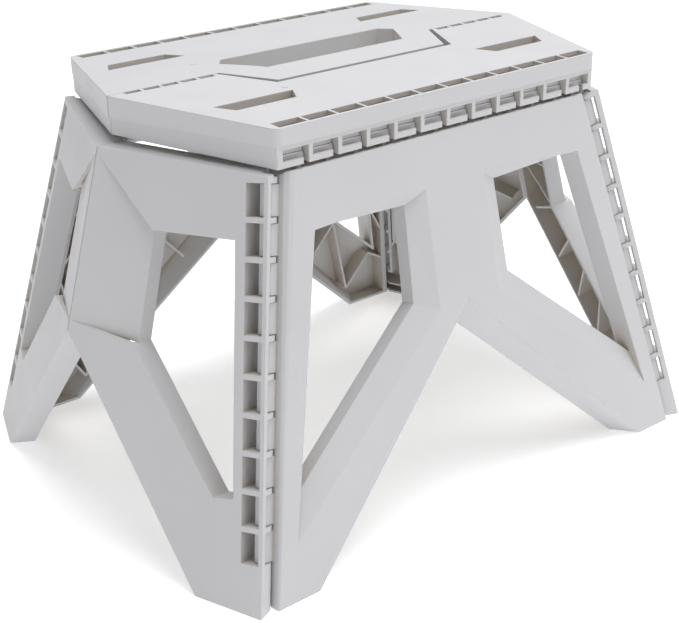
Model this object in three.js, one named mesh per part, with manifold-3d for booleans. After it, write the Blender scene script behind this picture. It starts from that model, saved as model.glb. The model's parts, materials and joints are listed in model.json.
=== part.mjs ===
// A folding step stool in moulded plastic, in millimetres, +Z up, standing open on its feet.
// The origin is on the floor under the middle of the seat and X runs along the centre hinge.
// Two seat halves, two wide legs and four end panels are joined by long knuckle hinges on steel pins.

import * as THREE from 'three';
import { ConvexGeometry } from 'three/addons/geometries/ConvexGeometry.js';
import { mergeVertices } from 'three/addons/utils/BufferGeometryUtils.js';
import Module from 'manifold-3d';

const wasm = await Module();
wasm.setup();

// ---- driving dimensions -------------------------------------------------

const GAP = 0.4;                 // running clearance between pieces
const WALL = 2.4;                // moulded side walls
const SKIN = 2.8;                // moulded faces
const RIB = 1.8;                 // stiffening ribs

const SEAT_EDGE_Z = 270;         // seat height at the long edges
const SEAT_CROWN = 3;            // rise from the long edges to the centre hinge
const SEAT_UNDER_Z = 246.3;      // underside of the seat at the long edges
const SEAT_STEP_Z = 259.5;       // the skirt is set back below this height
const SEAT_STEP_IN = 1;          // how far it is set back
const SEAT_LONG = 130.3;         // half length of a long edge
const SEAT_TIP = 168.6;          // half length along the centre hinge
const SEAT_DEPTH = 116;          // centre hinge to long edge
const CORNER_ROUND = 6;          // rounding of the seat's outer corners in plan
const FOLD_Z = 246.1;            // height of the centre hinge axis

const TILT = THREE.MathUtils.degToRad(11.5);      // lean of the wide legs
const PANEL = 16.5;              // thickness of legs and end panels
const AXIS_DEPTH = PANEL / 2;    // hinge axes lie in the middle of the panels
const PANEL_TOP_Z = 243.9;       // level top edge of legs and end panels
const FOOT_Y = 164.9;            // outer face of a wide leg at the floor

const END_TURN = THREE.MathUtils.degToRad(19.75); // end panel's turn in plan
const END_TILT = THREE.MathUtils.degToRad(15.4);  // end panel's lean
const FOLD_TOP_X = 178.1;        // fold edge of the end panels at their top
const FOLD_LOW_Z = 133.5;        // lower end of that fold edge

const PIN_R = 1.5;
const BORE_R = 2;
const KNUCKLE_R = 4.2;
const PIN_SIDES = 8;
const BORE_SIDES = 6;

// ---- shapes -------------------------------------------------------------

// Turns a closed three.js geometry into a solid that can be joined and cut.
function solid(geometry) {
  geometry.deleteAttribute('normal');
  geometry.deleteAttribute('uv');
  const welded = mergeVertices(geometry, 1e-4);
  const mesh = new wasm.Mesh({
    numProp: 3,
    vertProperties: new Float32Array(welded.attributes.position.array),
    triVerts: new Uint32Array(welded.index.array),
  });
  return new wasm.Manifold(mesh);
}

function block(x0, x1, y0, y1, z0, z1) {
  const geometry = new THREE.BoxGeometry(Math.abs(x1 - x0), y1 - y0, z1 - z0);
  geometry.translate((x0 + x1) / 2, (y0 + y1) / 2, (z0 + z1) / 2);
  return solid(geometry);
}

// An outline of [x, y] points raised from z0 to z1.
function prism(points, z0, z1) {
  const shape = new THREE.Shape(points.map(([x, y]) => new THREE.Vector2(x, y)));
  const geometry = new THREE.ExtrudeGeometry(shape, { depth: z1 - z0, bevelEnabled: false, curveSegments: 4 });
  geometry.translate(0, 0, z0);
  return solid(geometry);
}

// The convex solid around a set of [x, y, z] points.
function hull(points) {
  return solid(new ConvexGeometry(points.map(([x, y, z]) => new THREE.Vector3(x, y, z))));
}

// A round bar from one point to another.
function bar(from, to, radius, sides) {
  const span = new THREE.Vector3().subVectors(to, from);
  const geometry = new THREE.CylinderGeometry(radius, radius, span.length(), sides);
  geometry.translate(0, span.length() / 2, 0);
  const turn = new THREE.Quaternion().setFromUnitVectors(new THREE.Vector3(0, 1, 0), span.normalize());
  geometry.applyQuaternion(turn);
  geometry.translate(from.x, from.y, from.z);
  return solid(geometry);
}

// Moves each side of a counter-clockwise or clockwise outline inwards by its own amount.
function inset(points, amounts) {
  const area = THREE.ShapeUtils.area(points.map(([x, y]) => new THREE.Vector2(x, y)));
  const hand = Math.sign(area);
  const sides = points.map(([x, y], i) => {
    const [nx, ny] = points[(i + 1) % points.length];
    const length = Math.hypot(nx - x, ny - y);
    const amount = Array.isArray(amounts) ? amounts[i] : amounts;
    const inward = [-(ny - y) / length * hand, (nx - x) / length * hand];
    return { x: x + inward[0] * amount, y: y + inward[1] * amount, dx: nx - x, dy: ny - y };
  });
  return sides.map((side, i) => {
    const last = sides[(i + sides.length - 1) % sides.length];
    const cross = last.dx * side.dy - last.dy * side.dx;
    const along = ((side.x - last.x) * side.dy - (side.y - last.y) * side.dx) / cross;
    return [last.x + last.dx * along, last.y + last.dy * along];
  });
}

// Lays a prism down so that its height runs along X.
const LENGTHWISE = new THREE.Matrix4().set(0, 0, 1, 0, 1, 0, 0, 0, 0, 1, 0, 0, 0, 0, 0, 1).elements;

const union = (pieces) => pieces.reduce((all, piece) => all.add(piece));

// A straight rib between two points, from z0 to z1.
function rib([x0, y0], [x1, y1], z0, z1, thick = RIB) {
  const length = Math.hypot(x1 - x0, y1 - y0);
  const sx = (y1 - y0) / length * thick / 2;
  const sy = -(x1 - x0) / length * thick / 2;
  return prism([[x0 - sx, y0 - sy], [x1 - sx, y1 - sy], [x1 + sx, y1 + sy], [x0 + sx, y0 + sy]], z0, z1);
}

// ---- frames of the panels -----------------------------------------------

// The front leg's own frame: x along it, y up its slope, z outwards, origin at the floor.
const legFrame = {
  origin: new THREE.Vector3(0, -FOOT_Y, 0),
  x: new THREE.Vector3(1, 0, 0),
  y: new THREE.Vector3(0, Math.sin(TILT), Math.cos(TILT)),
  z: new THREE.Vector3(0, -Math.cos(TILT), Math.sin(TILT)),
};

// The right front end panel's frame: x away from the corner, y up the corner, z outwards.
function endFrameOf(hand) {
  const level = Math.cos(END_TILT);
  const normal = new THREE.Vector3(
    hand * Math.cos(END_TURN) * level, -Math.sin(END_TURN) * level, Math.sin(END_TILT));
  const up = new THREE.Vector3().crossVectors(legFrame.z, normal).multiplyScalar(hand).normalize();
  const away = new THREE.Vector3().crossVectors(up, normal).normalize();
  const topPoint = new THREE.Vector3(hand * FOLD_TOP_X, 0, PANEL_TOP_Z);
  // Corner at the floor: on the leg's outer face, the end panel's outer face and z = 0.
  const reach = topPoint.dot(normal);
  const x = (reach + FOOT_Y * normal.y) / normal.x;
  return { origin: new THREE.Vector3(x, -FOOT_Y, 0), x: away, y: up, z: normal };
}

const toFrame = (frame, point) => {
  const offset = new THREE.Vector3().subVectors(point, frame.origin);
  return [offset.dot(frame.x), offset.dot(frame.y), offset.dot(frame.z)];
};

// Keeps what lies between two level heights of the standing stool.
function trimLevel(shape, frame, low, high) {
  const reach = 500;
  const slab = (z0, z1) => {
    const corners = [];
    for (const x of [-reach, reach]) {
      for (const y of [-reach, reach]) {
        for (const z of [z0, z1]) corners.push(toFrame(frame, new THREE.Vector3(x, y, z)));
      }
    }
    return hull(corners);
  };
  return shape.subtract(slab(high, high + reach)).subtract(slab(low - reach, low));
}

function meshOf(name, shape, frame, material) {
  const { vertProperties, triVerts } = shape.getMesh();
  const geometry = new THREE.BufferGeometry();
  geometry.setAttribute('position', new THREE.BufferAttribute(vertProperties, 3));
  geometry.setIndex(new THREE.BufferAttribute(triVerts, 1));
  geometry.computeVertexNormals();
  const mesh = new THREE.Mesh(geometry, material);
  mesh.name = name;
  if (frame) {
    mesh.position.copy(frame.origin);
    mesh.quaternion.setFromRotationMatrix(new THREE.Matrix4().makeBasis(frame.x, frame.y, frame.z));
  }
  return mesh;
}

// ---- corner hinge: leg to end panel -------------------------------------

const rightEnd = endFrameOf(1);
const openAngle = Math.PI - legFrame.z.angleTo(rightEnd.z);      // inside angle between the faces
const AXIS_IN = AXIS_DEPTH / Math.tan(openAngle / 2);            // hinge axis to end panel's edge
const LIP_WIDE = 2.5;            // lip that covers the knuckles
const LIP_THICK = AXIS_DEPTH - KNUCKLE_R - GAP;
const LADDER_IN = 14.5;          // inner edge of the ladder windows
const LADDER_COUNT = 10;
const LADDER_PITCH = 22.3;
const RUNG = 3.3;
const LADDER_TOP = 251.2;        // top of the highest window, measured up the corner
const ladderWindow = (i) => {
  const top = LADDER_TOP - i * LADDER_PITCH;
  return [top - LADDER_PITCH + RUNG, top];
};

// The corner line of the leg's outer face in the leg's frame, at a height up its slope.
const cornerFoot = toFrame(legFrame, rightEnd.origin);
const cornerUp = new THREE.Vector3(
  rightEnd.y.dot(legFrame.x), rightEnd.y.dot(legFrame.y), rightEnd.y.dot(legFrame.z));

// ---- wide leg -----------------------------------------------------------

const LEG_FOOT_IN = 146.7;       // inner end of each foot on the floor
const LEG_ARCH = 142;            // top of the arch between the feet, outer face
const LEG_ARCH_INNER = 124;      // the same on the inner face
const LEG_FOOT_INNER = 138;
const FACET_DEPTH = 6;
const holeFace = [[110.5, 212.6], [24, 217], [25, 141], [156.5, 34.4]];
const holeThrough = [[110.5, 212.6], [38, 210], [41, 148.6], [150, 59.6]];

const LEG_AXIS_Z = FOLD_Z + GAP / 2 + AXIS_DEPTH;
const LEG_AXIS_Y = FOOT_Y - Math.tan(TILT) * LEG_AXIS_Z - AXIS_DEPTH / Math.cos(TILT);
const LEG_KNUCKLES = 12;
const LEG_PITCH = 21.2;
const POST = 2.9;                // seat wall between two knuckles of the leg
const LEG_WINDOW = LEG_PITCH - POST;
const LEG_ARM = 3;               // width of the arm that carries a knuckle
const LEG_ARM_END = 121;         // the last arm stays over the leg's own edge
const GROOVE_R = 13.75;          // groove in the leg's top edge that clears the seat's skirt
const GROOVE_SIDES = 36;
const GROOVE_DEEP = 3;
const BAR_REACH = 150;           // half length of cuts that run past both ends of the leg
const SIDE_GAP = 0.6;            // leg's side edge to the end panel's inner corner
const SIDE_WALL = 2;             // extra wall behind the rounded side edges
const SIDE_ROUND = 6;            // depth of the rounding along the leg's side edges
const SIDE_FACE_LOW = 13.4;      // outer face's edge to the corner line at the floor
const SIDE_FACE_HIGH = 19;       // and at the top
const LEG_PIN_REACH = 127;
const legKnuckleX = (i) => (i - (LEG_KNUCKLES - 1) / 2) * LEG_PITCH;

// Right end of a knuckle's arm, close to the right-hand wall of its window.
const legArmEnd = (i) => Math.min(legKnuckleX(i) + LEG_WINDOW / 2 - GAP, LEG_ARM_END);

// Edge of the leg beside the corner hinge, as x at a height up the slope.
const legSide = (y) => {
  const slope = cornerUp.x / cornerUp.y;
  const across = Math.hypot(cornerUp.x, cornerUp.y) / cornerUp.y;
  return cornerFoot[0] + slope * y - (2 * AXIS_IN + SIDE_GAP) * across;
};

// The leg's block with its side edges rounded towards the corner hinges.
function legBlank(low, high) {
  const across = Math.hypot(cornerUp.x, cornerUp.y) / cornerUp.y;
  const points = [];
  for (const y of [low, high]) {
    const side = legSide(y);
    const share = (y - low) / (high - low);
    const face = SIDE_FACE_LOW + (SIDE_FACE_HIGH - SIDE_FACE_LOW) * share;
    const flat = side - (face - 2 * AXIS_IN - SIDE_GAP) * across;
    for (const hand of [1, -1]) {
      points.push([hand * side, y, -PANEL]);
      for (const angle of [0, 30, 60, 90].map(THREE.MathUtils.degToRad)) {
        const x = flat + (side - flat) * Math.cos(angle);
        points.push([hand * x, y, SIDE_ROUND * (Math.sin(angle) - 1)]);
      }
    }
  }
  return hull(points);
}

function holeCut(hand, grow) {
  const place = (points, depth) => points.map(([x, y]) => [hand * x, y, depth]);
  const face = inset(holeFace, -grow);
  const through = inset(holeThrough, -grow);
  const facet = hull([...place(face, grow ? -grow : 0.1), ...place(through, -FACET_DEPTH - grow)]);
  const shaft = prism(place(through, 0).map(([x, y]) => [x, y]), -PANEL - 6, -FACET_DEPTH - grow + 0.1);
  return facet.add(shaft);
}

function archCut(grow) {
  const wedge = (foot, arch, z) => [[-foot, -8, z], [foot, -8, z], [0, arch, z]];
  const slope = LEG_ARCH / LEG_FOOT_IN;
  const rise = grow * Math.hypot(1, slope);
  const reach = 8 / slope;
  return hull([
    ...wedge(LEG_FOOT_IN + reach + rise / slope, LEG_ARCH + rise, 0.1),
    ...wedge(LEG_FOOT_INNER + reach + rise / slope, LEG_ARCH_INNER + rise, -PANEL - 0.1),
  ]);
}

// Stiffening ribs of one half of the leg, as pairs of ends.
const legRibs = [
  [[0, 124], [0, 250]],
  [[30, 215], [0, 245]], [[30, 215], [52, 250]], [[80, 212], [52, 250]], [[80, 212], [104, 250]],
  [[112, 212], [104, 250]], [[30, 178], [0, 205]], [[30, 178], [0, 150]], [[30, 145], [8, 128]],
  [[64, 125], [44, 104]], [[64, 125], [84, 64]], [[104, 93], [84, 64]], [[104, 93], [128, 22]],
  [[148, 52], [128, 22]], [[148, 52], [170, 40]], [[120, 208], [140, 175]], [[128, 150], [142, 175]],
  [[128, 150], [152, 120]], [[144, 95], [152, 120]], [[144, 95], [164, 66]],
];

function legSolid() {
  const low = -8;
  const high = 262;
  const outline = [[legSide(low), low], [legSide(high), high], [-legSide(high), high], [-legSide(low), low]];
  const holes = union([holeCut(1, 0), holeCut(-1, 0), archCut(0)]);
  const kept = union([holeCut(1, WALL), holeCut(-1, WALL), archCut(WALL)]);
  const groove = topBar(GROOVE_R, GROOVE_SIDES, BAR_REACH);
  let body = trimLevel(legBlank(low, high), legFrame, 0, PANEL_TOP_Z).subtract(holes.add(groove));
  const sides = inset(outline, [WALL + SIDE_WALL, WALL, WALL + SIDE_WALL, WALL]);
  const roomTop = PANEL_TOP_Z - WALL - GROOVE_DEEP;
  const room = trimLevel(prism(sides, -PANEL - 1, -SKIN), legFrame, WALL, roomTop);
  const ribs = [];
  for (const hand of [1, -1]) {
    for (const [a, b] of legRibs) {
      ribs.push(rib([hand * a[0], a[1]], [hand * b[0], b[1]], -PANEL + 1, -SKIN + 0.5));
    }
  }
  const solidRibs = trimLevel(union(ribs), legFrame, 1, roomTop + 1).intersect(body);
  body = body.subtract(room.subtract(kept)).add(solidRibs);
  body = body.add(union([...topKnuckles(), ...sideKnuckles(1), ...sideKnuckles(-1)]));
  const bores = [1, -1].map((hand) => cornerBar(hand, BORE_R, BORE_SIDES, -40, 60));
  return body.subtract(union([...bores, topBar(BORE_R, BORE_SIDES, BAR_REACH)]));
}

// A bar on the corner hinge axis in the leg's frame, longer than the ladder by the given ends.
function cornerBar(hand, radius, sides, below, above) {
  const at = (y) => {
    const x = cornerFoot[0] + cornerUp.x * y;
    const across = AXIS_IN / Math.hypot(cornerUp.x, cornerUp.y);
    return new THREE.Vector3(
      hand * (x - across * cornerUp.y), cornerFoot[1] + cornerUp.y * y + across * cornerUp.x, -AXIS_DEPTH);
  };
  const [, top] = ladderWindow(0);
  const [bottom] = ladderWindow(LADDER_COUNT - 1);
  return bar(at(bottom + below), at(top + above), radius, sides);
}

// Knuckles of the corner hinge, each with the arm that carries it.
function sideKnuckles(hand) {
  const up = new THREE.Vector2(cornerUp.x, cornerUp.y).normalize();
  const inward = new THREE.Vector2(-up.y, up.x);
  const pieces = [];
  for (let i = 0; i < LADDER_COUNT; i += 1) {
    const [low, high] = ladderWindow(i);
    const ends = [low + GAP, high - GAP];
    const spot = (along, across, z) => {
      const x = cornerFoot[0] + up.x * along + inward.x * across;
      const y = cornerFoot[1] + up.y * along + inward.y * across;
      return [hand * x, y, z];
    };
    const root = 2 * AXIS_IN + SIDE_GAP + WALL / 2;
    const profile = [[root, 0.3 - KNUCKLE_R], [root, 2.2]];
    for (const angle of [80, 120, 160, 200, 240, 280].map(THREE.MathUtils.degToRad)) {
      profile.push([AXIS_IN + KNUCKLE_R * Math.cos(angle), KNUCKLE_R * Math.sin(angle)]);
    }
    const place = (along) => profile.map(([across, z]) => spot(along, across, z - AXIS_DEPTH));
    pieces.push(hull(ends.flatMap(place)));
  }
  return pieces;
}

// The hinge axis of the leg under the seat, in the leg's frame.
const legTop = toFrame(legFrame, new THREE.Vector3(0, -LEG_AXIS_Y, LEG_AXIS_Z));

function topBar(radius, sides, reach) {
  return bar(
    new THREE.Vector3(-reach, legTop[1], legTop[2]), new THREE.Vector3(reach, legTop[1], legTop[2]),
    radius, sides);
}

// Knuckles under the seat's long edge, each on one narrow arm at its right end.
function topKnuckles() {
  const pieces = [];
  const half = LEG_WINDOW / 2 - GAP;
  const [, y, z] = legTop;
  const eye = [[3.4, 1.4], [1.2, KNUCKLE_R], [-2.75, KNUCKLE_R], [-KNUCKLE_R, 2.75], [-KNUCKLE_R, -KNUCKLE_R],
    [3.4, -KNUCKLE_R]];
  const arm = [[0, 0.8], [-16, 0.8], [-16, -6], [-3, -6], [0, -3.9]];
  const place = (profile) => profile.map(([up, out]) => [y + up, z + out]);
  for (let i = 0; i < LEG_KNUCKLES; i += 1) {
    const x = legKnuckleX(i);
    const end = legArmEnd(i);
    pieces.push(prism(place(eye), x - half, x + half).transform(LENGTHWISE));
    pieces.push(prism(place(arm), end - LEG_ARM, end - 0.02).transform(LENGTHWISE));
  }
  return pieces;
}

// ---- end panel ----------------------------------------------------------

const END_HOLE = [[21.5, 218.5], [82, 221], [93.5, 153], [35, 67.5], [20.5, 68.5]];
const END_FOOT_IN = 46;          // inner end of the foot on the floor
const END_FACET_DEEP = 5;        // how far the face falls at the hole
const NOTCH_WIDE = 8.4;          // notch in the top edge beside the corner
const NOTCH_Y = 255;             // its floor, measured up the corner
const NOTCH_OUT = 5.8;           // its outer and inner side, below the outer face
const NOTCH_IN = 14.4;
const FACET_TOP_Z = 241;         // where it starts and ends on the fold edge
const FACET_LOW_Z = 140;
const FACET_INNER = [[81, 222], [92.5, 152]];
const endRibs = [
  [[20, 244], [42, 219]], [[42, 219], [60, 256]], [[60, 256], [82, 220]], [[82, 220], [100, 258]],
  [[82, 220], [124, 232]], [[124, 232], [88, 186]], [[88, 186], [134, 190]], [[134, 190], [94, 152]],
  [[94, 152], [128, 144]], [[78, 130], [112, 104]], [[64, 110], [92, 76]], [[50, 89], [74, 48]],
  [[35, 67], [46, 20]], [[20, 66], [46, 20]], [[20, 66], [2, 30]], [[46, 20], [4, 14]],
];

function endSolid(hand) {
  const frame = endFrameOf(hand);
  const place = (points) => points.map(([x, ...rest]) => [hand * x, ...rest]);
  const spot = (point) => {
    const [x, y] = toFrame(frame, point);
    return [hand * x, y];
  };
  // The fold edge lies on the middle plane at the panel's outer face and is mitred there.
  const foldAt = (z) => {
    const reach = new THREE.Vector3(hand * FOLD_TOP_X, 0, PANEL_TOP_Z).dot(frame.z);
    return new THREE.Vector3((reach - z * frame.z.z) / frame.z.x, 0, z);
  };
  const foldHigh = spot(foldAt(PANEL_TOP_Z + 20));
  const foldLow = spot(foldAt(FOLD_LOW_Z));
  const foot = [[END_FOOT_IN, END_FOOT_IN * 0.084], [END_FOOT_IN - 6, -8]];
  const outline = [[0, -8], [0, 275], foldHigh, foldLow, ...foot];
  const blank = trimLevel(prism(place(outline), -PANEL, 0), frame, 0, PANEL_TOP_Z);
  let body = blank.subtract(beyondMiddle(frame, 0));

  const facet = endFacet(hand, foldAt, frame);
  const inner = prism(place(inset(outline, WALL)), -PANEL - 1, -SKIN)
    .subtract(beyondMiddle(frame, WALL))
    .subtract(facet.translate([0, 0, -SKIN]));
  const [ladderEnd] = ladderWindow(LADDER_COUNT - 1);
  const stile = block(hand * -20, hand * (LADDER_IN + WALL), ladderEnd - WALL, 300, -PANEL - 2, 0);
  const room = trimLevel(inner.subtract(stile), frame, WALL, PANEL_TOP_Z - WALL);
  const rim = prism(place(inset(END_HOLE, -WALL)), -PANEL - 2, 0);
  const ribs = trimLevel(
    union(endRibs.map(([a, b]) => rib([hand * a[0], a[1]], [hand * b[0], b[1]], -PANEL + 1, -SKIN + 0.5))),
    frame, 1, PANEL_TOP_Z - 1).intersect(body);
  body = body.subtract(room.subtract(rim)).add(ribs);
  body = body.subtract(prism(place(END_HOLE), -PANEL - 3, 1));
  // Room in the top edge for the seat's corner while the panel swings.
  const notch = block(hand * -1, hand * NOTCH_WIDE, NOTCH_Y, 300, -NOTCH_IN, -NOTCH_OUT);
  return ladder(body.subtract(facet.add(notch)), hand);
}

// Everything that is not clear of the middle plane of the stool, in a panel's frame.
function beyondMiddle(frame, clear) {
  const corners = [];
  for (const x of [-400, 400]) {
    for (const y of [-GAP / 2 - clear, 400]) {
      for (const z of [-100, 400]) corners.push(toFrame(frame, new THREE.Vector3(x, y, z)));
    }
  }
  return hull(corners);
}

// A facet that falls from the fold edge to the hole.
function endFacet(hand, foldAt, frame) {
  const edge = [FACET_TOP_Z, FACET_LOW_Z].map((z) => {
    const [x, y] = toFrame(frame, foldAt(z));
    return [x, y, 0.1];
  });
  const points = FACET_INNER.flatMap(([x, y]) => [[hand * x, y, -END_FACET_DEEP], [hand * x, y, 0.1]]);
  return hull([...edge, ...points]);
}

// Cuts the ladder of windows beside the corner and leaves the rungs that carry the pin.
function ladder(body, hand) {
  const [, top] = ladderWindow(0);
  const [bottom] = ladderWindow(LADDER_COUNT - 1);
  let shape = body;
  for (let i = 0; i < LADDER_COUNT; i += 1) {
    const [low, high] = ladderWindow(i);
    shape = shape.subtract(block(hand * LIP_WIDE, hand * LADDER_IN, low, high, -PANEL - 1, 1));
    shape = shape.subtract(block(hand * -1, hand * (LIP_WIDE + 1), low, high, -PANEL - 1, -LIP_THICK));
  }
  // Rounds the rungs' inner corner so that the leg's edge can swing past them.
  const steps = 4;
  const arc = [];
  for (let i = 0; i <= steps; i += 1) {
    const angle = Math.PI / 2 * i / steps;
    arc.push([AXIS_IN - AXIS_IN * Math.cos(angle), -AXIS_DEPTH - AXIS_IN * Math.sin(angle)]);
  }
  const relief = [...arc, [LADDER_IN - 2, -AXIS_DEPTH - AXIS_IN], [LADDER_IN - 2, -PANEL - 1],
    [-1, -PANEL - 1], [-1, -AXIS_DEPTH]];
  const geometry = prism(relief.map(([x, z]) => [hand * x, z]), 0, 400);
  const stand = new THREE.Matrix4().set(1, 0, 0, 0, 0, 0, -1, 0, 0, 1, 0, 0, 0, 0, 0, 1);
  const raised = geometry.transform(new THREE.Matrix4()
    .makeTranslation(0, top + 30, 0).multiply(stand).elements);
  shape = shape.subtract(raised);
  const axis = (y) => new THREE.Vector3(hand * AXIS_IN, y, -AXIS_DEPTH);
  return shape.subtract(bar(axis(bottom - 8), axis(top + 20), BORE_R, BORE_SIDES));
}

// ---- seat ---------------------------------------------------------------

const RING_BACK = 88.7;          // half width of the handle ring at the centre hinge
const RING_FRONT = 69.5;         // and at its front edge
const RING_OUT = 36;             // how far it reaches over the centre hinge
const RING_GAP = 4;
const HANDLE_HOLE = [[-57, -8], [57, -8], [74, 21], [67, 30], [-67, 30], [-74, 21]];
const SLOT_X = 104.6;            // middle of the slot in each half's deck
const SLOT = [[-28.7, 59], [28.7, 59], [21.5, 72.5], [-21.5, 72.5]];

const FAR_DOWN = 200;            // heights below and above the whole seat, for cuts right through it
const FAR_UP = 300;
const BLANK_TOP = 280;           // top of the seat's blank before its sloping face is cut
const DECK_CUT_Z = 264;          // slots in the deck start below this height
const LID = 3.2;                 // thickness of the deck
const CHANNEL_IN = 95;           // inner side of the hinge channel
const RAIL = 2.5;                // rim of the deck in front of its edge slots
const EDGE_SLOT = 8.9;           // width of the slots in the deck above the channel
const EDGE_SLOT_LONG = 19.4;
const WINDOW_TOP_Z = 256.8;      // windows of the leg's knuckles in the skirt
const STRIP_TOP_Z = 250.1;       // strip of the skirt that closes them below
const STRIP = 1.6;               // its thickness

const CENTRE_KNUCKLES = 5;       // on each side of the handle
const CENTRE_R = 3.6;
const CENTRE_PITCH = 13.2;
const CENTRE_SLOT = 4.4;         // width of the slots over the centre hinge's knuckles
const CENTRE_SLOT_LONG = 11;
const CENTRE_START = 93;

// The half behind the centre hinge; the front half is turned to face the other way.
// The outline with its two outer corners rounded off.
function roundedOutline(outline) {
  const [, right, far] = outline;
  const slant = Math.atan2(right[0] - far[0], far[1] - right[1]);
  const reach = CORNER_ROUND * Math.tan((Math.PI / 2 - slant) / 2);
  const centre = [far[0] - reach, far[1] - CORNER_ROUND];
  const arc = [0, 1, 2, 3, 4].map((i) => slant + (Math.PI / 2 - slant) * i / 4)
    .map((angle) => [centre[0] + CORNER_ROUND * Math.cos(angle), centre[1] + CORNER_ROUND * Math.sin(angle)]);
  return [[-right[0], -RING_OUT - 1], [right[0], -RING_OUT - 1], right, ...arc,
    ...arc.map(([x, y]) => [-x, y]).reverse(), [-right[0], right[1]]];
}

function seatSolid(isFront) {
  const near = GAP / 2;
  const outline = [[-SEAT_TIP, near], [SEAT_TIP, near], [SEAT_LONG, SEAT_DEPTH], [-SEAT_LONG, SEAT_DEPTH]];
  const step = inset(outline, [0, SEAT_STEP_IN, SEAT_STEP_IN, SEAT_STEP_IN]);
  let body = prism(outline, SEAT_STEP_Z, BLANK_TOP).add(prism(step, SEAT_UNDER_Z, SEAT_STEP_Z + 0.1));
  // The ring's stretch over the other half follows that half's slope.
  if (!isFront) body = body.add(ringBody()).subtract(aboveSeat(0).mirror([0, 1, 0]));
  const corners = prism(roundedOutline(outline), FAR_DOWN, FAR_UP);
  body = body.subtract(aboveSeat(0)).subtract(belowSeat()).intersect(corners);

  const wall = SEAT_STEP_IN + WALL;
  const inner = inset(outline, [WALL, wall, SEAT_DEPTH - CHANNEL_IN + WALL, wall]);
  const ceiling = aboveSeat(-LID);
  let room = prism(inner, SEAT_UNDER_Z - 1, BLANK_TOP).subtract(ceiling);
  const ribs = [...seatRibs(), ...slotWalls(), ...(isFront ? notchWalls() : handleWalls())];
  room = room.subtract(union(ribs));
  body = body.subtract(room);
  body = body.subtract(hingeChannel().subtract(ceiling));
  body = body.subtract(union([...seatSlots(), ...edgeSlots()]));
  if (isFront) body = body.subtract(union(centreSlots()));
  body = isFront ? body.subtract(notch()) : body.subtract(handleCut());
  const reach = LEG_PIN_REACH + GAP;
  const axisBar = bar(
    new THREE.Vector3(-reach, LEG_AXIS_Y, LEG_AXIS_Z), new THREE.Vector3(reach, LEG_AXIS_Y, LEG_AXIS_Z),
    BORE_R, BORE_SIDES);
  return centreHinge(body).subtract(axisBar);
}

// Everything above the sloping top face, lowered or raised by an offset.
function aboveSeat(offset) {
  const slope = SEAT_CROWN / SEAT_DEPTH;
  const at = (y) => SEAT_EDGE_Z + slope * (SEAT_DEPTH - y) + offset;
  const corners = [];
  for (const x of [-300, 300]) {
    for (const y of [-60, 200]) corners.push([x, y, at(y)], [x, y, 320]);
  }
  return hull(corners);
}

// Everything below the underside, which slopes like the top face.
function belowSeat() {
  const rise = (y) => SEAT_UNDER_Z + SEAT_CROWN / SEAT_DEPTH * (SEAT_DEPTH - y);
  const corners = [];
  for (const x of [-300, 300]) {
    for (const y of [0, 200]) corners.push([x, y, rise(y)], [x, y, 100]);
  }
  return hull(corners);
}

// The stretch of the ring that reaches over the centre hinge, in the rear half.
function ringBody() {
  const outline = [[-RING_BACK, 3], [-RING_BACK, 0], [-RING_FRONT, -RING_OUT], [RING_FRONT, -RING_OUT],
    [RING_BACK, 0], [RING_BACK, 3]];
  return prism(outline, SEAT_UNDER_Z + SEAT_CROWN, BLANK_TOP);
}

const notchOutline = (gap) => [
  [-RING_BACK - gap, -2], [RING_BACK + gap, -2], [RING_FRONT + gap * 0.8, RING_OUT + gap],
  [-RING_FRONT - gap * 0.8, RING_OUT + gap]];

const notch = () => prism(notchOutline(RING_GAP), FAR_DOWN, FAR_UP);
const notchWalls = () => [prism(notchOutline(RING_GAP + WALL), FAR_DOWN, FAR_UP)];
const handleCut = () => prism(HANDLE_HOLE, FAR_DOWN, FAR_UP);
const handleWalls = () => [prism(inset(HANDLE_HOLE, -WALL), FAR_DOWN, FAR_UP)];

function seatSlots() {
  return [1, -1].map((hand) => prism(SLOT.map(([x, y]) => [hand * SLOT_X + x, y]), FAR_DOWN, FAR_UP));
}

function slotWalls() {
  const outline = inset(SLOT, -1.6);
  return [1, -1].map((hand) => prism(outline.map(([x, y]) => [hand * SLOT_X + x, y]), FAR_DOWN, FAR_UP));
}

// Ribs under the deck: one lengthwise and a row across.
function seatRibs() {
  const low = SEAT_UNDER_Z + 2;
  const ribs = [rib([-155, 48], [155, 48], low, FAR_UP)];
  for (let i = -3; i <= 3; i += 1) ribs.push(rib([i * 42, 0], [i * 42, 100], low, FAR_UP));
  return ribs;
}

// The channel for the leg's knuckles, with a window in the skirt for each knuckle.
function hingeChannel() {
  const cuts = [];
  const half = LEG_WINDOW / 2;
  const skirt = SEAT_DEPTH - SEAT_STEP_IN;
  for (let i = 0; i < LEG_KNUCKLES; i += 1) {
    const x = legKnuckleX(i);
    // The two halves face each other, so an arm at the leg's right end passes here at the left.
    const arm = -legArmEnd(LEG_KNUCKLES - 1 - i);
    cuts.push(block(x - half, x + half, CHANNEL_IN, skirt - STRIP, FAR_DOWN, FAR_UP));
    cuts.push(block(x - half, x + half, CHANNEL_IN, SEAT_DEPTH + 1, STRIP_TOP_Z, WINDOW_TOP_Z));
    cuts.push(block(arm - GAP, arm + LEG_ARM + GAP, CHANNEL_IN, SEAT_DEPTH + 1, FAR_DOWN, STRIP_TOP_Z + 1));
  }
  return union(cuts);
}

// Slots through the deck above the leg's knuckles.
function edgeSlots() {
  const far = SEAT_DEPTH - RAIL;
  const half = EDGE_SLOT_LONG / 2;
  return Array.from({ length: LEG_KNUCKLES }, (_, i) => legKnuckleX(i))
    .map((x) => block(x - half, x + half, far - EDGE_SLOT, far, DECK_CUT_Z, FAR_UP));
}

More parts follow.
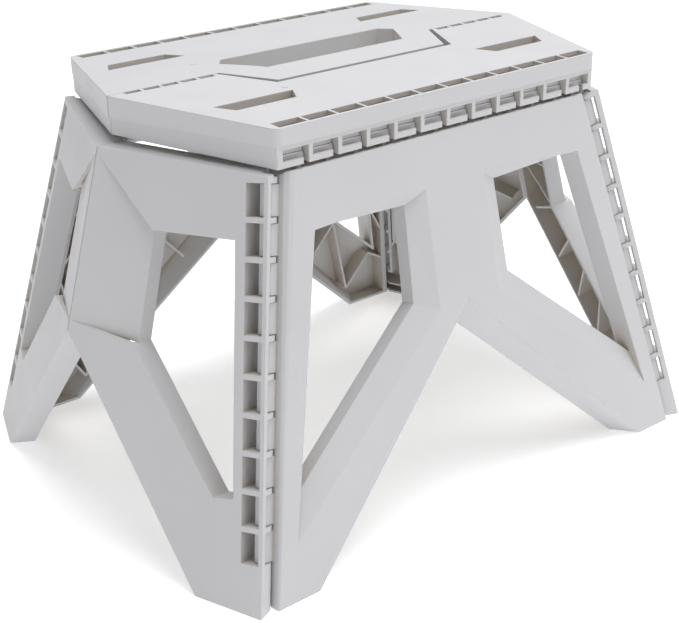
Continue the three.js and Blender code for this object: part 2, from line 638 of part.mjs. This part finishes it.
// Slots through the deck beside the centre hinge, one over each of its knuckles.
function centreSlots() {
  const cuts = [];
  const half = CENTRE_SLOT_LONG / 2;
  for (const side of [1, -1]) {
    for (let i = 0; i < CENTRE_KNUCKLES; i += 1) {
      const middle = side * (CENTRE_START + (i + 0.5) * CENTRE_PITCH);
      cuts.push(block(middle - half, middle + half, -1, CENTRE_SLOT, DECK_CUT_Z, FAR_UP));
    }
  }
  return cuts;
}

// A bar on the centre hinge's axis between two places along it.
function centreBar([from, to], radius, sides) {
  return bar(new THREE.Vector3(from, 0, FOLD_Z), new THREE.Vector3(to, 0, FOLD_Z), radius, sides);
}

// Knuckles along the centre: those with an even number belong to one half and the rest to the other.
function centreHinge(body) {
  let shape = body;
  const bores = [];
  for (const side of [1, -1]) {
    for (let i = 0; i < CENTRE_KNUCKLES; i += 1) {
      const mine = (i % 2 === 0) === (side > 0);
      const from = side * (CENTRE_START + i * CENTRE_PITCH);
      const to = from + side * CENTRE_PITCH;
      const [x0, x1] = [Math.min(from, to), Math.max(from, to)];
      const at = (x) => new THREE.Vector3(x, 0, FOLD_Z);
      if (mine) {
        const web = block(x0 + GAP / 2, x1 - GAP / 2, GAP / 2, CENTRE_R + 2, FOLD_Z + 0.2, FOLD_Z + 6);
        shape = shape.add(bar(at(x0 + GAP / 2), at(x1 - GAP / 2), CENTRE_R, PIN_SIDES)).add(web);
      } else {
        shape = shape.subtract(bar(at(x0 - GAP / 2), at(x1 + GAP / 2), CENTRE_R + 2 * GAP, PIN_SIDES));
      }
    }
    const ends = [side * (CENTRE_START - 3), side * (CENTRE_START + CENTRE_KNUCKLES * CENTRE_PITCH + 3)];
    ends.sort((a, b) => a - b);
    bores.push(centreBar(ends, BORE_R, BORE_SIDES));
  }
  return shape.subtract(union(bores));
}

// ---- assembly -----------------------------------------------------------

const plastic = () => new THREE.MeshStandardMaterial({ color: 0xd9d9dc, roughness: 0.55, metalness: 0 });
const steel = () => new THREE.MeshStandardMaterial({ color: 0xa8aaad, roughness: 0.35, metalness: 1 });

const stool = new THREE.Group();
const turned = new THREE.Group();
turned.rotation.z = Math.PI;
stool.add(turned);

const endLeft = endSolid(-1);
const endRight = endSolid(1);
const leg = legSolid();
const pinLeft = cornerBar(-1, PIN_R, PIN_SIDES, -4, 1.5);
const pinRight = cornerBar(1, PIN_R, PIN_SIDES, -4, 1.5);
const pinTop = topBar(PIN_R, PIN_SIDES, LEG_PIN_REACH);

// The seat halves are drawn behind the hinge, so the front one hangs in the turned group.
stool.add(meshOf('top_rear', seatSolid(false), null, plastic()));
turned.add(meshOf('top_front', seatSolid(true), null, plastic()));

const sides = [[stool, 'front', ['left', 'right']], [turned, 'rear', ['right', 'left']]];
for (const [group, place, ends] of sides) {
  group.add(meshOf(`leg_${place}`, leg, legFrame, plastic()));
  group.add(meshOf(`end_${ends[0]}_${place}`, endLeft, endFrameOf(-1), plastic()));
  group.add(meshOf(`end_${ends[1]}_${place}`, endRight, endFrameOf(1), plastic()));
  group.add(meshOf(`leg_pin_${place}`, pinTop, legFrame, steel()));
  group.add(meshOf(`corner_pin_${ends[0]}_${place}`, pinLeft, legFrame, steel()));
  group.add(meshOf(`corner_pin_${ends[1]}_${place}`, pinRight, legFrame, steel()));
}

for (const [name, side] of [['left', -1], ['right', 1]]) {
  const ends = [side * (CENTRE_START + 0.5), side * (CENTRE_START + CENTRE_KNUCKLES * CENTRE_PITCH - 0.5)];
  ends.sort((a, b) => a - b);
  const pin = centreBar(ends, PIN_R, PIN_SIDES);
  stool.add(meshOf(`centre_pin_${name}`, pin, null, steel()));
}

export default stool;
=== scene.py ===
import json
import math

import bpy
from mathutils import Matrix, Vector


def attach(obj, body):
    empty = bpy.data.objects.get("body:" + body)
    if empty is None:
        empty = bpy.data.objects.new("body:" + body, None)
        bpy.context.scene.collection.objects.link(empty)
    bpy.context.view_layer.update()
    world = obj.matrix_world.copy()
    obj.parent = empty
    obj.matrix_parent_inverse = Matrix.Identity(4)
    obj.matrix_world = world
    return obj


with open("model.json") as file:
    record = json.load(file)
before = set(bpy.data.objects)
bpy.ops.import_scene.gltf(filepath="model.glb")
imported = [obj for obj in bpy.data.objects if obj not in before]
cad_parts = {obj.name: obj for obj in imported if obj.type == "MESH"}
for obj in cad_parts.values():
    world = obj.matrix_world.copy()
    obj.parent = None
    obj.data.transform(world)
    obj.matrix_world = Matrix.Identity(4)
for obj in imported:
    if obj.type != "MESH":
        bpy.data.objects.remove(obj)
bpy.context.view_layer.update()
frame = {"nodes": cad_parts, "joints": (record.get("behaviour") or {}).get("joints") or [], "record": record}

# Lengths are in metres. Colours are linear red, green, blue and opacity.
# Noise scales are in cells per metre.

# The camera's place, the angles it is seen at from the stool, its tilt and its lens.
CAMERA_AT = Vector((-0.54873, -0.69201, 0.48049))
CAMERA_AZIMUTH = math.radians(-38.618)
CAMERA_ELEVATION = math.radians(24.225)
CAMERA_ROLL = math.radians(-1.132)
SENSOR_MM = 36.0
LENS_MM = 71.355
CLIP_START = 0.01

# The plastic's colour.
PLASTIC_DARK = (0.565, 0.565, 0.582, 1)
PLASTIC_LIGHT = (0.59, 0.59, 0.605, 1)
CLOUD_SCALE = 14                 # slow drift between the two
SPECK_COLOUR = (0.545, 0.545, 0.56, 1)
SPECK_SCALE = 900
SPECK_MOST = 0.35

# Rounded edges, rubbed smoother than the faces and painted a little lighter: partly wear, partly a painted
# highlight.
EDGE_RADIUS = 0.0009
WEAR_HIGHLIGHT_COLOUR = (0.71, 0.71, 0.722, 1)
WEAR_HIGHLIGHT_MOST = 0.8
WEAR_HIGHLIGHT_TURN = (0.75, 0.995)        # cosines of the bend where the wear and painted highlight are full and where they end
WEAR_HIGHLIGHT_PATCH_SCALE = 220
WEAR_HIGHLIGHT_PATCH_LEAST = 0.35
WORN_SMOOTHING = 0.1

# Painted shade: a warm tint in corners and pockets, where the light hardly reaches.
POCKET_SHADE_COLOUR = (0.56, 0.49, 0.385, 1)
POCKET_SHADE_MOST = 0.85
POCKET_SHADE_OPENNESS = (0.15, 0.75)     # openness where the painted shade is full and where it ends
POCKET_SHADE_REACH = 0.05
SHADER_RAYS = 6                  # for the edges and for the painted shade

# The plastic's sheen, grain and sink marks.
PLASTIC_ROUGHNESS = (0.46, 0.58)
PLASTIC_SPECULAR = 0.42
SHEEN_SCALE = 40
GRAIN_SCALE = 1600
GRAIN_ROUGHNESS = 0.6
GRAIN_STRENGTH = 0.16
GRAIN_DEPTH = 0.00012
SINK_SCALE = 26
SINK_STRENGTH = 0.12
SINK_DEPTH = 0.0006

# The steel of the pins.
STEEL_DARK = (0.52, 0.53, 0.54, 1)
STEEL_LIGHT = (0.68, 0.69, 0.70, 1)
STEEL_ROUGHNESS = (0.26, 0.42)
STEEL_SCALE = 1400

# The floor and the light of the room.
FLOOR_DARK = (0.90, 0.90, 0.90, 1)
FLOOR_LIGHT = (0.93, 0.93, 0.93, 1)
FLOOR_SCALE = 3
FLOOR_ROUGHNESS = 0.8
FLOOR_GLOW = 0.4
FLOOR_HALF = 40.0
FLOOR_DROP = 0.0004              # below z = 0
WHITE = (1, 1, 1, 1)
WORLD_STRENGTH = 0.43

# Gate marks on the deck, where the plastic was let into the mould.
GATES = (("rear", -0.0855, 0.0328), ("front", -0.0759, -0.0518))    # seat half, x, y
GATE_RADIUS = 0.0021
GATE_RISE = 0.00022
GATE_SIDES = 28
GATE_RINGS = (                   # from the rim inwards: shares of the radius and of the rise
    (1.0, -0.5), (1.0, 0.55), (0.88, 1.0), (0.5, 0.8), (0.3, 0.35))

# Front blocks of the leg's knuckles. They hang a little below the hinge axis.
KNUCKLES = 12                    # along each long edge of the seat
KNUCKLE_PITCH = 0.0212
KNUCKLE_HALF = 0.0086            # half of a block's length
KNUCKLE_BLOCK = (                # its section: height above the hinge axis, and how far in front
    (-0.0034, 0.0008), (-0.0034, 0.0046), (-0.0037, 0.0049),
    (-0.0066, 0.0049), (-0.0070, 0.0044), (-0.0070, 0.0008))


# ---- shader nodes ----------------------------------------------------------------

def new_material(name):
    """A new material, its node tree, its shader and the object's own coordinates."""
    material = bpy.data.materials.new(name)
    material.use_nodes = True
    tree = material.node_tree
    tree.nodes.clear()
    output = tree.nodes.new("ShaderNodeOutputMaterial")
    shader = tree.nodes.new("ShaderNodeBsdfPrincipled")
    tree.links.new(shader.outputs["BSDF"], output.inputs["Surface"])
    place = tree.nodes.new("ShaderNodeTexCoord").outputs["Object"]
    return material, tree, shader, place


def noise(tree, place, scale, detail, roughness=0.5):
    node = tree.nodes.new("ShaderNodeTexNoise")
    node.inputs["Scale"].default_value = scale
    node.inputs["Detail"].default_value = detail
    node.inputs["Roughness"].default_value = roughness
    tree.links.new(place, node.inputs["Vector"])
    return node.outputs["Fac"]


def spread(tree, value, low, high, span=(0.3, 0.7)):
    """The value's span, stretched over low to high. Most of a noise lies in the usual span."""
    node = tree.nodes.new("ShaderNodeMapRange")
    node.inputs["From Min"].default_value = span[0]
    node.inputs["From Max"].default_value = span[1]
    node.inputs["To Min"].default_value = low
    node.inputs["To Max"].default_value = high
    tree.links.new(value, node.inputs["Value"])
    return node.outputs["Result"]


def calculate(tree, operation, first, second):
    node = tree.nodes.new("ShaderNodeMath")
    node.operation = operation
    for socket, value in zip(node.inputs, (first, second)):
        if isinstance(value, float):
            socket.default_value = value
        else:
            tree.links.new(value, socket)
    return node.outputs["Value"]


def mix_colour(tree, factor, first, second):
    node = tree.nodes.new("ShaderNodeMix")
    node.data_type = "RGBA"
    for name, value in (("Factor", factor), ("A", first), ("B", second)):
        socket = next(s for s in node.inputs if s.name == name and s.enabled)
        if isinstance(value, tuple):
            socket.default_value = value
        else:
            tree.links.new(value, socket)
    return next(s for s in node.outputs if s.enabled)


def bump(tree, height, strength, depth, normal):
    node = tree.nodes.new("ShaderNodeBump")
    node.inputs["Strength"].default_value = strength
    node.inputs["Distance"].default_value = depth
    tree.links.new(height, node.inputs["Height"])
    tree.links.new(normal, node.inputs["Normal"])
    return node.outputs["Normal"]


def rounded_normal(tree):
    node = tree.nodes.new("ShaderNodeBevel")
    node.samples = SHADER_RAYS
    node.inputs["Radius"].default_value = EDGE_RADIUS
    return node.outputs["Normal"]


def edge_wear_and_highlight(tree, place, rounded):
    """How much a spot is rubbed and painted lighter as a highlight: the rounded normal leaves the true one
    only near an edge.
    """
    true_normal = tree.nodes.new("ShaderNodeNewGeometry").outputs["Normal"]
    turn = tree.nodes.new("ShaderNodeVectorMath")
    turn.operation = "DOT_PRODUCT"
    tree.links.new(rounded, turn.inputs[0])
    tree.links.new(true_normal, turn.inputs[1])
    wear_and_highlight = spread(tree, turn.outputs["Value"], WEAR_HIGHLIGHT_MOST, 0, WEAR_HIGHLIGHT_TURN)
    patches = spread(tree, noise(tree, place, WEAR_HIGHLIGHT_PATCH_SCALE, detail=3), WEAR_HIGHLIGHT_PATCH_LEAST, 1)
    return calculate(tree, "MULTIPLY", wear_and_highlight, patches)


def painted_pocket_shade(tree):
    """How much painted shade a spot has: a warm tint from how closed in it is by its own piece."""
    node = tree.nodes.new("ShaderNodeAmbientOcclusion")
    node.samples = SHADER_RAYS
    node.only_local = True
    node.inputs["Distance"].default_value = POCKET_SHADE_REACH
    return spread(tree, node.outputs["AO"], POCKET_SHADE_MOST, 0, POCKET_SHADE_OPENNESS)


# ---- materials -------------------------------------------------------------------

def moulded_plastic():
    """Light grey moulded plastic: fine grain, faint sink marks, rubbed edges painted lighter as wear and a
    painted highlight, warm painted shade in pockets.
    """
    material, tree, shader, place = new_material("moulded_plastic")
    rounded = rounded_normal(tree)
    wear_and_highlight = edge_wear_and_highlight(tree, place, rounded)

    cloud = spread(tree, noise(tree, place, CLOUD_SCALE, detail=3), 0, 1)
    speck = spread(tree, noise(tree, place, SPECK_SCALE, detail=2), 0, SPECK_MOST)
    colour = mix_colour(tree, cloud, PLASTIC_DARK, PLASTIC_LIGHT)
    colour = mix_colour(tree, speck, colour, SPECK_COLOUR)
    # Edges painted lighter: partly wear, partly a painted highlight.
    colour = mix_colour(tree, wear_and_highlight, colour, WEAR_HIGHLIGHT_COLOUR)
    # Painted shade: a warm tint in the corners and pockets of each piece.
    colour = mix_colour(tree, painted_pocket_shade(tree), colour, POCKET_SHADE_COLOUR)
    tree.links.new(colour, shader.inputs["Base Color"])

    rough = spread(tree, noise(tree, place, SHEEN_SCALE, detail=4), *PLASTIC_ROUGHNESS)
    smoothing = calculate(tree, "MULTIPLY", wear_and_highlight, WORN_SMOOTHING)
    tree.links.new(calculate(tree, "SUBTRACT", rough, smoothing), shader.inputs["Roughness"])
    shader.inputs["Specular IOR Level"].default_value = PLASTIC_SPECULAR

    sinks = noise(tree, place, SINK_SCALE, detail=1)
    grain = noise(tree, place, GRAIN_SCALE, detail=3, roughness=GRAIN_ROUGHNESS)
    normal = bump(tree, sinks, SINK_STRENGTH, SINK_DEPTH, rounded)
    normal = bump(tree, grain, GRAIN_STRENGTH, GRAIN_DEPTH, normal)
    tree.links.new(normal, shader.inputs["Normal"])
    return material


def drawn_steel():
    """Bright drawn wire with a fine mottle in its colour and sheen."""
    material, tree, shader, place = new_material("drawn_steel")
    marks = noise(tree, place, STEEL_SCALE, detail=3)
    colour = mix_colour(tree, spread(tree, marks, 0, 1), STEEL_DARK, STEEL_LIGHT)
    tree.links.new(colour, shader.inputs["Base Color"])
    tree.links.new(spread(tree, marks, *STEEL_ROUGHNESS), shader.inputs["Roughness"])
    shader.inputs["Metallic"].default_value = 1.0
    return material


def pale_floor():
    """A white floor that glows a little, so that it melts into the background."""
    material, tree, shader, place = new_material("pale_floor")
    tone = mix_colour(tree, noise(tree, place, FLOOR_SCALE, detail=2), FLOOR_DARK, FLOOR_LIGHT)
    tree.links.new(tone, shader.inputs["Base Color"])
    shader.inputs["Roughness"].default_value = FLOOR_ROUGHNESS
    shader.inputs["Emission Color"].default_value = WHITE
    shader.inputs["Emission Strength"].default_value = FLOOR_GLOW
    return material


PLASTIC = moulded_plastic()
STEEL = drawn_steel()


def paint(piece, material):
    piece.data.materials.clear()
    piece.data.materials.append(material)


for name, node in frame["nodes"].items():
    is_pin = "pin" in name
    paint(node, STEEL if is_pin else PLASTIC)


# ---- pieces that only the looks have -----------------------------------------------

def add_object(name, data):
    new_object = bpy.data.objects.new(name, data)
    bpy.context.scene.collection.objects.link(new_object)
    return new_object


def add_mesh(name, vertices, faces, material):
    mesh = bpy.data.meshes.new(name)
    mesh.from_pydata(vertices, [], faces)
    piece = add_object(name, mesh)
    paint(piece, material)
    return piece


def named(rows, name):
    return next(row for row in rows if row["name"] == name)


def deck_height(half, y):
    """Height of a seat half's deck, which slopes as its mount says."""
    mount = named(frame["record"]["mounts"], "seat_" + half)
    at, up = mount["pos_m"], mount["axis"]
    return at[2] - (y - at[1]) * up[1] / up[2]


def gate_mark(half, x, y):
    """A small round mark with a softened rim and a shallow dip in the middle."""
    base = deck_height(half, y)
    vertices = []
    for share, rise in GATE_RINGS:
        for i in range(GATE_SIDES):
            turn = 2 * math.pi * i / GATE_SIDES
            vertices.append((
                x + GATE_RADIUS * share * math.cos(turn),
                y + GATE_RADIUS * share * math.sin(turn),
                base + GATE_RISE * rise))
    rings = [range(k * GATE_SIDES, (k + 1) * GATE_SIDES) for k in range(len(GATE_RINGS))]
    faces = []
    for outer, inner in zip(rings, rings[1:]):
        for i in range(GATE_SIDES):
            j = (i + 1) % GATE_SIDES
            faces.append((outer[i], outer[j], inner[j], inner[i]))
    faces.append(tuple(rings[-1]))
    faces.append(tuple(reversed(rings[0])))
    mark = add_mesh("gate_mark_" + half, vertices, faces, PLASTIC)
    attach(mark, "seat_" + half)


def knuckle_blocks(side):
    """The blocks in front of the leg's knuckles, one behind each window of the skirt."""
    joint = named(frame["joints"], "leg_fold_" + side)
    axis_y, axis_z = joint["pos_m"][1:]
    lean = math.radians(90 - joint["range_deg"][1])    # of the standing leg, from upright
    hand = 1 if axis_y > 0 else -1
    count = len(KNUCKLE_BLOCK)
    vertices = []
    faces = []
    for i in range(KNUCKLES):
        middle = (i - (KNUCKLES - 1) / 2) * KNUCKLE_PITCH
        start = len(vertices)
        for x in (middle - KNUCKLE_HALF, middle + KNUCKLE_HALF):
            for up, out in KNUCKLE_BLOCK:
                y = axis_y + hand * (out * math.cos(lean) - up * math.sin(lean))
                vertices.append((x, y, axis_z + up * math.cos(lean) + out * math.sin(lean)))
        near = range(start, start + count)
        far = range(start + count, start + 2 * count)
        block = [tuple(near), tuple(reversed(far))]
        for k in range(count):
            n = (k + 1) % count
            block.append((near[n], near[k], far[k], far[n]))
        for face in block:
            faces.append(face if hand > 0 else tuple(reversed(face)))
    blocks = add_mesh("knuckle_blocks_" + side, vertices, faces, PLASTIC)
    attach(blocks, "leg_" + side)


for half, x, y in GATES:
    gate_mark(half, x, y)
for side in ("front", "rear"):
    knuckle_blocks(side)


# ---- floor, light and camera ---------------------------------------------------

def make_floor():
    half = FLOOR_HALF
    corners = [(-half, -half, 0), (half, -half, 0), (half, half, 0), (-half, half, 0)]
    floor = add_mesh("floor", corners, [(0, 1, 2, 3)], pale_floor())
    floor.location.z = -FLOOR_DROP


def area_light(name, at, target, size, power):
    light = bpy.data.lights.new(name, "AREA")
    light.shape = "DISK"
    light.size = size
    light.energy = power
    lamp = add_object(name, light)
    lamp.location = at
    lamp.rotation_euler = (Vector(target) - Vector(at)).to_track_quat("-Z", "Y").to_euler()


def make_world():
    world = bpy.data.worlds.new("studio")
    world.use_nodes = True
    background = world.node_tree.nodes["Background"]
    background.inputs["Color"].default_value = WHITE
    background.inputs["Strength"].default_value = WORLD_STRENGTH
    bpy.context.scene.world = world


def make_camera():
    back = Vector((
        math.sin(CAMERA_AZIMUTH) * math.cos(CAMERA_ELEVATION),
        -math.cos(CAMERA_AZIMUTH) * math.cos(CAMERA_ELEVATION),
        math.sin(CAMERA_ELEVATION)))
    level = Vector((math.cos(CAMERA_AZIMUTH), math.sin(CAMERA_AZIMUTH), 0))
    upright = back.cross(level)
    right = level * math.cos(CAMERA_ROLL) + upright * math.sin(CAMERA_ROLL)
    up = upright * math.cos(CAMERA_ROLL) - level * math.sin(CAMERA_ROLL)
    data = bpy.data.cameras.new("camera")
    data.sensor_fit = "HORIZONTAL"
    data.sensor_width = SENSOR_MM
    data.lens = LENS_MM
    data.clip_start = CLIP_START
    camera = add_object("camera", data)
    turn = Matrix((right, up, back)).transposed().to_4x4()
    camera.matrix_world = Matrix.Translation(CAMERA_AT) @ turn
    bpy.context.scene.camera = camera


make_floor()
make_world()
area_light("overhead", at=(0.3, -0.2, 2.2), target=(0, 0, 0.2), size=2.0, power=44)
area_light("front_right", at=(1.4, -2.2, 1.3), target=(0, 0, 0.15), size=1.6, power=5)
make_camera()
bpy.context.scene.view_settings.view_transform = "Standard"
